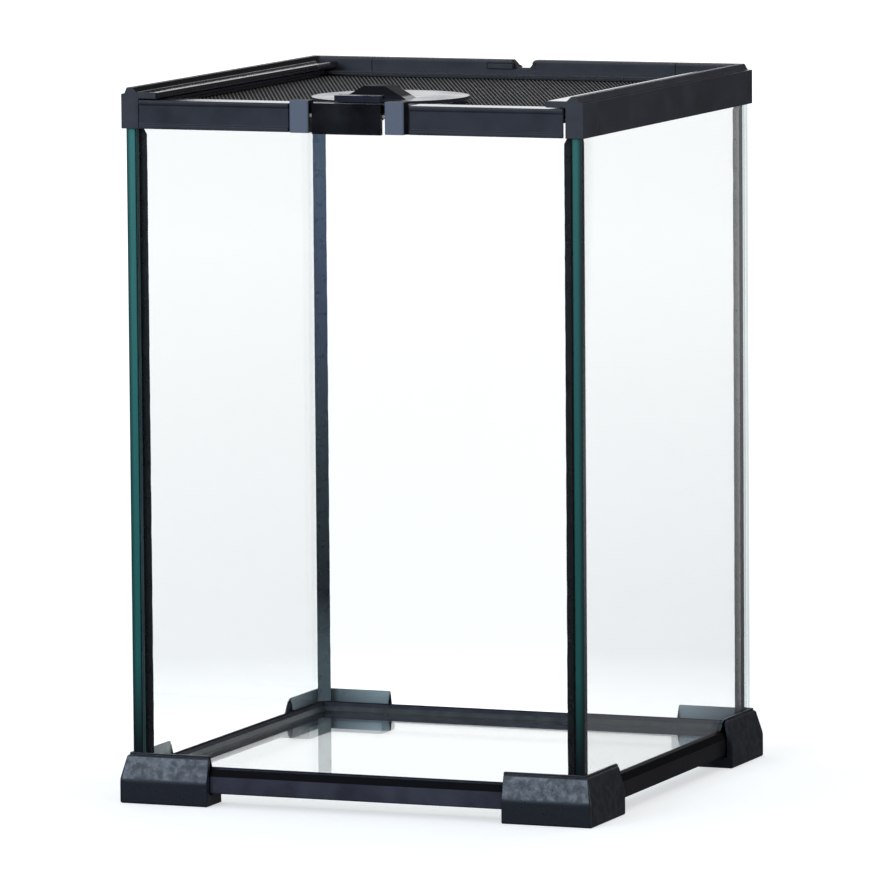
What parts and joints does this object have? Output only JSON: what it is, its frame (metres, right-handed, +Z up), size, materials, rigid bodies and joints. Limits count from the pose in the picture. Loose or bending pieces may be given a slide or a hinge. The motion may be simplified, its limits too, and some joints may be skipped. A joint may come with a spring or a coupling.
{
  "type": "reptile terrarium",
  "caption": "Top-opening glass terrarium on corner feet, with a sliding mesh lid, a front latch, a hinged feeding port and a cable notch.",
  "frame": {"origin": "centre of the base on the surface it stands on", "axes": "+Z up, -Y towards the front with the latch, +X to the right seen from the front"},
  "size_m": [0.2092, 0.2106, 0.2976],
  "materials": {
    "clear_glass": "clear float glass with polished green edges",
    "floor_glass": "clear float glass laid flat on the base shelf",
    "black_silicone": "smooth cured silicone sealant",
    "foot_plastic": "moulded, faintly mottled satin surface",
    "base_plastic": "extruded, satin",
    "frame_plastic": "extruded and moulded, satin with fine lines",
    "lid_plastic": "extruded and moulded, satin",
    "cover_plastic": "moulded, semi-gloss",
    "latch_gloss": "polished moulding, bare face",
    "mesh": "black coated woven wire",
    "spline": "soft extruded cord",
    "pin_steel": "bright drawn wire"
  },
  "bodies": {
    "tank": {"front_glass": "clear_glass", "back_glass": "clear_glass", "left_glass": "clear_glass", "right_glass": "clear_glass", "floor_glass": "floor_glass", "corner_bead_front_left": "black_silicone", "corner_bead_front_right": "black_silicone", "corner_bead_back_left": "black_silicone", "corner_bead_back_right": "black_silicone", "floor_bead": "black_silicone", "base_rail_front": "base_plastic", "base_rail_right": "base_plastic", "base_rail_back": "base_plastic", "base_rail_left": "base_plastic", "foot_front_left": "foot_plastic", "foot_front_right": "foot_plastic", "foot_back_left": "foot_plastic", "foot_back_right": "foot_plastic", "top_rail_left": "frame_plastic", "top_rail_right": "frame_plastic", "top_rail_back": "frame_plastic", "end_cap_left": "frame_plastic", "end_cap_right": "frame_plastic", "frame_corner_left": "frame_plastic", "frame_corner_right": "frame_plastic", "front_glass_trim": "frame_plastic"},
    "lid": {"lid_front_bar_left": "lid_plastic", "lid_front_bar_right": "lid_plastic", "lid_side_bar_left": "lid_plastic", "lid_side_bar_right": "lid_plastic", "lid_rear_bar": "lid_plastic", "lid_mesh": "mesh", "mesh_spline": "spline", "lock_housing": "lid_plastic", "latch_pin": "pin_steel", "port_ring": "lid_plastic", "port_pin": "pin_steel"},
    "latch": {"latch": "latch_gloss"},
    "port_cover": {"port_cover": "cover_plastic"},
    "cable_shutter": {"cable_shutter": "frame_plastic"}
  },
  "joints": [
    {"name": "lid_slide", "type": "slide", "parent": "tank", "child": "lid", "axis": [0, -1, 0], "range_m": [0, 0.19]},
    {"name": "latch_rock", "type": "hinge", "parent": "lid", "child": "latch", "pos_m": [0, -0.1031, 0.2873], "axis": [1, 0, 0], "range_deg": [-6, 5]},
    {"name": "port_cover_hinge", "type": "hinge", "parent": "lid", "child": "port_cover", "pos_m": [0, -0.023, 0.2911], "axis": [-1, 0, 0], "range_deg": [0, 110]},
    {"name": "shutter_slide", "type": "slide", "parent": "tank", "child": "cable_shutter", "axis": [1, 0, 0], "range_m": [0, 0.0101]}
  ]
}
